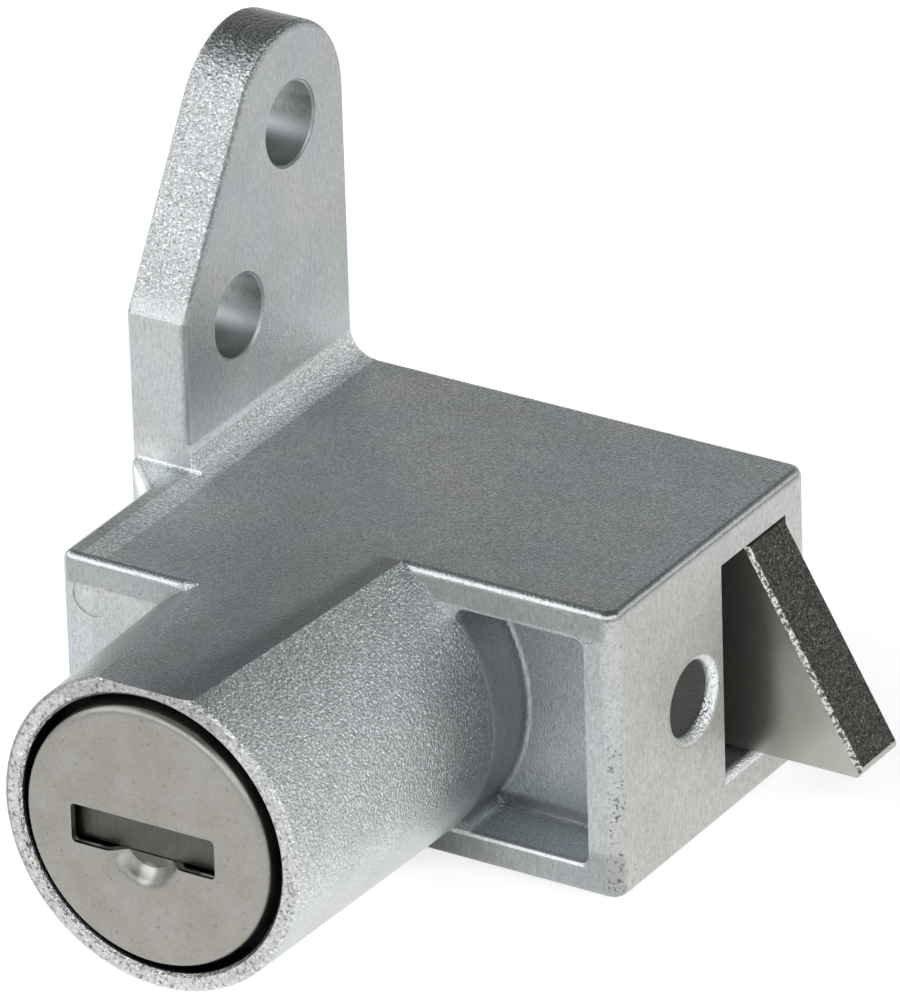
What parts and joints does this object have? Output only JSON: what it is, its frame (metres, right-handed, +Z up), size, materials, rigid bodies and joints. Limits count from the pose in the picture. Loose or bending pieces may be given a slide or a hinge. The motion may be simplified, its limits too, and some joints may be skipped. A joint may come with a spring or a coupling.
{
  "type": "battery lock",
  "caption": "Key-turned lock with a cast housing: the plug pulls in a slanted spring latch bolt, a sprung dust shutter closes the key slot, and an upright ear screws it on.",
  "frame": {"origin": "on the axis of the mounting ear's lower screw hole, where it meets the ear's flat outer face", "axes": "+X from the ear's mounting face towards the latch bolt's nose, along the bolt's travel and the screw holes; +Y along the plug, away from the key; +Z up towards the ear's round end"},
  "size_m": [0.0349, 0.0348, 0.0357],
  "materials": {
    "zinc_casting": "satin plated zinc casting with a fine sandy grain",
    "cap_steel": "satin stainless sheet, lightly scratched",
    "shutter_steel": "dark grey satin with arc scratches",
    "bolt_steel": "nickel plated, slanted face dark and grainy",
    "pin_steel": "satin",
    "plug_brass": "machined",
    "wafer_brass": "stamped",
    "spring_steel": "drawn wire"
  },
  "bodies": {
    "lock_body": {"housing": "zinc_casting", "retaining_pin": "pin_steel", "bolt_spring": "spring_steel"},
    "plug": {"plug_core": "plug_brass", "face_cap": "cap_steel", "shutter_pin": "pin_steel", "drive_pin": "pin_steel", "shutter_spring": "spring_steel", "wafer_spring_1": "spring_steel", "wafer_spring_2": "spring_steel", "wafer_spring_3": "spring_steel", "wafer_spring_4": "spring_steel", "wafer_spring_5": "spring_steel", "wafer_spring_6": "spring_steel", "wafer_spring_7": "spring_steel"},
    "shutter": {"dust_shutter": "shutter_steel"},
    "bolt": {"latch_bolt": "bolt_steel"},
    "wafer_1": {"wafer_1": "wafer_brass"},
    "wafer_2": {"wafer_2": "wafer_brass"},
    "wafer_3": {"wafer_3": "wafer_brass"},
    "wafer_4": {"wafer_4": "wafer_brass"},
    "wafer_5": {"wafer_5": "wafer_brass"},
    "wafer_6": {"wafer_6": "wafer_brass"},
    "wafer_7": {"wafer_7": "wafer_brass"}
  },
  "joints": [
    {"name": "plug_turn", "type": "hinge", "parent": "lock_body", "child": "plug", "pos_m": [0.0135, -0.0249, -0.0139], "axis": [0, 1, 0], "range_deg": [0, 90]},
    {"name": "bolt_slide", "type": "slide", "parent": "lock_body", "child": "bolt", "axis": [1, 0, 0], "range_m": [-0.006, 0], "stiffness_N_per_m": 1280, "springref_m": 0.0025, "deforming": ["bolt_spring"]},
    {"name": "shutter_swing", "type": "hinge", "parent": "plug", "child": "shutter", "pos_m": [0.01332, -0.02382, -0.01196], "axis": [1, 0, 0], "range_deg": [0, 80], "stiffness_Nm_per_rad": 0.00005, "springref_deg": -57.3, "deforming": ["shutter_spring"]},
    {"name": "wafer_1_slide", "type": "slide", "parent": "plug", "child": "wafer_1", "axis": [1, 0, 0], "range_m": [0, 0.00065], "stiffness_N_per_m": 100, "springref_m": 0.0012, "deforming": ["wafer_spring_1"]},
    {"name": "wafer_2_slide", "type": "slide", "parent": "plug", "child": "wafer_2", "axis": [-1, 0, 0], "range_m": [0, 0.00065], "stiffness_N_per_m": 100, "springref_m": 0.0012, "deforming": ["wafer_spring_2"]},
    {"name": "wafer_3_slide", "type": "slide", "parent": "plug", "child": "wafer_3", "axis": [1, 0, 0], "range_m": [0, 0.00065], "stiffness_N_per_m": 100, "springref_m": 0.0012, "deforming": ["wafer_spring_3"]},
    {"name": "wafer_4_slide", "type": "slide", "parent": "plug", "child": "wafer_4", "axis": [-1, 0, 0], "range_m": [0, 0.00065], "stiffness_N_per_m": 100, "springref_m": 0.0012, "deforming": ["wafer_spring_4"]},
    {"name": "wafer_5_slide", "type": "slide", "parent": "plug", "child": "wafer_5", "axis": [1, 0, 0], "range_m": [0, 0.00065], "stiffness_N_per_m": 100, "springref_m": 0.0012, "deforming": ["wafer_spring_5"]},
    {"name": "wafer_6_slide", "type": "slide", "parent": "plug", "child": "wafer_6", "axis": [-1, 0, 0], "range_m": [0, 0.00065], "stiffness_N_per_m": 100, "springref_m": 0.0012, "deforming": ["wafer_spring_6"]},
    {"name": "wafer_7_slide", "type": "slide", "parent": "plug", "child": "wafer_7", "axis": [1, 0, 0], "range_m": [0, 0.00065], "stiffness_N_per_m": 100, "springref_m": 0.0012, "deforming": ["wafer_spring_7"]}
  ],
  "couplings": [
    {"joint": "plug_turn", "follows": "bolt_slide", "rad_per_m": -261.79}
  ]
}
